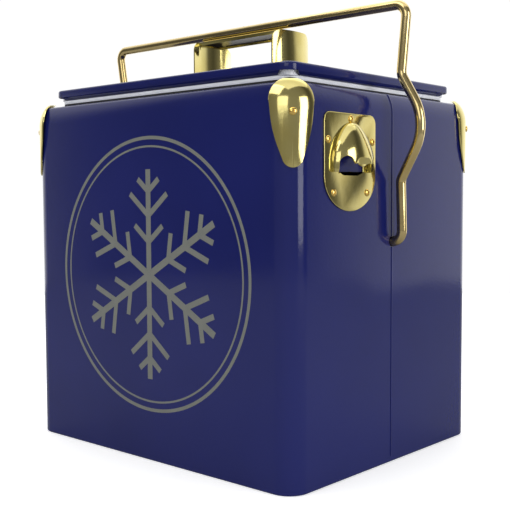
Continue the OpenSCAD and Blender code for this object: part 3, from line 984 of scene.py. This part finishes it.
def softened(node, name, width, segments=3):
    piece = copy_of(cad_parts[node], name)
    for key in list(piece.keys()):
        del piece[key]
    piece.parent = None
    piece.matrix_world = Matrix.Identity(4)
    tidy_normals(piece)
    round_edges(piece, width, segments, 40)
    smooth(piece, 40)
    return piece


handle = finish(softened("lid_handle", "carry_handle", 0.35 * MM), "lid", "lid_handle",
                slot="brass_plate", material=BRASS)
# The bar's underside gets the second slot: darker, duller brass that is painted shade.
handle.data.materials.append(BRASS_PAINTED_SHADE)
edit(handle, "FACE")
pick(handle, "polygons", lambda f: f.normal.z < -0.5 and f.center.z > HANDLE_BAR_Z)
handle.active_material_index = 1
bpy.ops.object.material_slot_assign()
done()
finish(softened("inner_liner", "liner", 0.9 * MM), "chest", "inner_liner",
       slot="liner_plastic", material=WHITE)
handle_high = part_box("lid_handle_rivets")[1]
FOOT_X, FOOT_Y = handle_high.x - RIVET_R, 12 * MM
FOOT_TOP = handle_high.z - RIVET_H
rivets("handle_rivet_heads",
       [Matrix.Translation((sx * FOOT_X, sy * FOOT_Y, FOOT_TOP))
        for sx in (-1, 1) for sy in (-1, 1)], "lid", "lid_handle_rivets")

# %% [markdown]
# ## Finishes on the frame's own pieces
# The rest of the nodes stay as they are, and only get a finish.

# %% Finish the kept nodes
KEPT = {"rim_seal": BLACK, "base_pan": ZINC, "body_foam": CREAM, "lid_foam": CREAM,
        "lid_liner": WHITE, "pivot_socket_left": ZINC, "pivot_socket_right": ZINC}
for node, material in KEPT.items():
    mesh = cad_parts[node].data
    mesh.materials.clear()
    mesh.materials.append(material)
    print(node, "is finished in", material.name)

# %% [markdown]
# ## The front print
# The front carries a one-colour screen print. This one is a plain design of its own: a large
# snowflake inside two rings. Ink has a real, if tiny, thickness, so each stroke is a thin
# raised strip, a twentieth of a millimetre proud of the paint.

# %% Print helpers
RING_X, RING_Z = 3 * MM, 155 * MM
PRINT_Y = -HALF_D
INK_T = 0.05 * MM


def stroke(name, points, layer=0):
    """A printed shape given by [across, up] points from the ring's middle. Shapes that cross
    lie in different layers, a few thousandths of a millimetre apart."""
    proud = INK_T + layer * 0.004 * MM
    return slab(name, [(RING_X + x, PRINT_Y - proud, RING_Z + z) for x, z in points],
                (0, proud, 0))


def ribbon(line, width):
    """The outline of a line drawn with a pen of this width."""
    sides = [[], []]
    for i, (x, z) in enumerate(line):
        ax, az = line[max(i - 1, 0)]
        bx, bz = line[min(i + 1, len(line) - 1)]
        length = math.hypot(bx - ax, bz - az)
        across = (-(bz - az) / length * width / 2, (bx - ax) / length * width / 2)
        sides[0].append((x + across[0], z + across[1]))
        sides[1].append((x - across[0], z - across[1]))
    return sides[0] + sides[1][::-1]


def turned(points, degrees):
    """The points turned round the origin."""
    c, s = math.cos(math.radians(degrees)), math.sin(math.radians(degrees))
    return [(x * c - z * s, x * s + z * c) for x, z in points]


# %% Rings and snowflake
RING_LINES = ((112 * MM, 2.8 * MM), (105 * MM, 1.6 * MM))
FLAKE = 1.8 * MM


def rings():
    shapes = []
    for radius, pen in RING_LINES:
        line = arc((0, 0), radius, -90, 270, 144)
        shapes.append(stroke("ring", ribbon(line[:74], pen)))
        shapes.append(stroke("ring", ribbon(line[71:], pen), 1))
    return shapes


def snowflake():
    """Six arms with three pairs of twigs each, drawn 48 units long and scaled by FLAKE."""
    shapes = []
    for arm in range(6):
        strokes = [([(0, 0), (48, 0)], 3.2, arm)]
        for reach, twig in ((15, 12), (27, 16), (38, 9)):
            for layer, side in ((6, -1), (7, 1)):
                tip = (reach + twig * 0.62, side * twig * 0.78)
                strokes.append(([(reach, 0), tip], 2.6, layer))
        for line, pen, layer in strokes:
            points = ribbon([(x * FLAKE, z * FLAKE) for x, z in line], pen * FLAKE)
            shapes.append(stroke("flake", turned(points, 60 * arm + 30), layer))
    return shapes


finish(join("front_print", *rings(), *snowflake()), "chest",
       slot="blue_enamel", material=INK)

# %% [markdown]
# ## Camera
# The camera is at the height of the chest's upper half, off its right front corner.

# %% Camera
CAMERA_AT = Vector((0.5674, -0.6258, 0.2183))
CAMERA_LOOK = Vector((-0.6666, 0.7426, -0.0643)).normalized()
CAMERA_ROLL = -0.27

clear_selection()
bpy.ops.object.camera_add()
camera = bpy.context.object
camera.data.sensor_width = 36
camera.data.lens = 64.24
camera.data.clip_start = 0.01
right = CAMERA_LOOK.cross(Vector((0, 0, 1))).normalized()
up = right.cross(CAMERA_LOOK)
roll = Matrix.Rotation(math.radians(CAMERA_ROLL), 3, "Z")
axes = Matrix((right, up, -CAMERA_LOOK)).transposed() @ roll
camera.matrix_world = Matrix.Translation(CAMERA_AT) @ axes.to_4x4()
scene.camera = camera
print("camera", tuple(round(c, 3) for c in camera.location))

# %% [markdown]
# ## Studio
# Glossy paint and brass look like whatever stands round them, and a white room washes them
# out. So the world is bright behind the chest and dim round the camera, which keeps the front
# panel deep blue, and the floor looks dimmer in reflections. The camera itself sees plain
# white. Two soft boxes stand left and right of the camera, and two hang overhead.

# %% World, floor and lights
scene.view_settings.view_transform = "Standard"
SKY_STRENGTH = 1.5
FLOOR_R = 1.3


def studio_world():
    """A bright backdrop behind the chest, which fades to a dim room round the camera."""
    scene.world = bpy.data.worlds.new("studio")
    scene.world.use_nodes = True
    sky = Nodes(scene.world.node_tree)
    place = sky.add("ShaderNodeTexCoord", {}, out="Generated")
    along = sky.add("ShaderNodeVectorMath", {"operation": "DOT_PRODUCT"}, place,
                    tuple(CAMERA_LOOK), out="Value")
    room = sky.ramp(0.5 + 0.5 * along, (0.0, grey(0.22)), (0.30, grey(0.16)),
                    (0.44, grey(0.05)), (0.55, grey(0.10)), (0.62, grey(0.60)),
                    (0.75, grey(0.90)), (1.0, grey(0.95)))
    seen = sky.add("ShaderNodeLightPath", {}, out="Is Camera Ray")
    backdrop = sky.tree.nodes["Background"]
    sky.feed(backdrop.inputs["Color"], sky.mix(seen, room, grey(1.02 / SKY_STRENGTH)))
    backdrop.inputs["Strength"].default_value = SKY_STRENGTH


def soft_box(name, place, size, watts, aim=(0, 0, 0.17)):
    clear_selection()
    bpy.ops.object.light_add(type="AREA", location=place)
    box = bpy.context.object
    box.name = name
    box.data.shape = "RECTANGLE"
    box.data.size, box.data.size_y = size
    box.data.energy = watts
    box.rotation_euler = (Vector(aim) - Vector(place)).to_track_quat("-Z", "Y").to_euler()
    return box


def pale_floor():
    clear_selection()
    bpy.ops.mesh.primitive_circle_add(vertices=96, radius=FLOOR_R, fill_type="NGON")
    floor = bpy.context.object
    floor.name = "floor"
    paper = Finish("floor_paper")
    mirrored = paper.add("ShaderNodeLightPath", {}, out="Is Glossy Ray")
    pale = paper.mix(paper.noise(3.0), grey(0.88), grey(0.92))
    paper.set(Base_Color=paper.mix(mirrored, pale, grey(0.30)), Roughness=0.9,
              Emission_Color=paper.mix(mirrored, grey(1.0), grey(0.15)),
              Emission_Strength=0.35)
    floor.data.materials.append(paper.material)


studio_world()
pale_floor()
soft_box("left_of_camera", (0.77, -1.41, 0.72), (0.90, 0.68), 3.2)
soft_box("right_side", (1.60, 0.14, 0.50), (0.75, 0.90), 9)
soft_box("overhead", (0.0, 0.1, 1.9), (2.4, 2.4), 20)
soft_box("front_top", (-0.3, -1.5, 2.0), (2.0, 1.2), 18)

# %% Clear away the rivet template
bpy.data.objects.remove(RIVET)
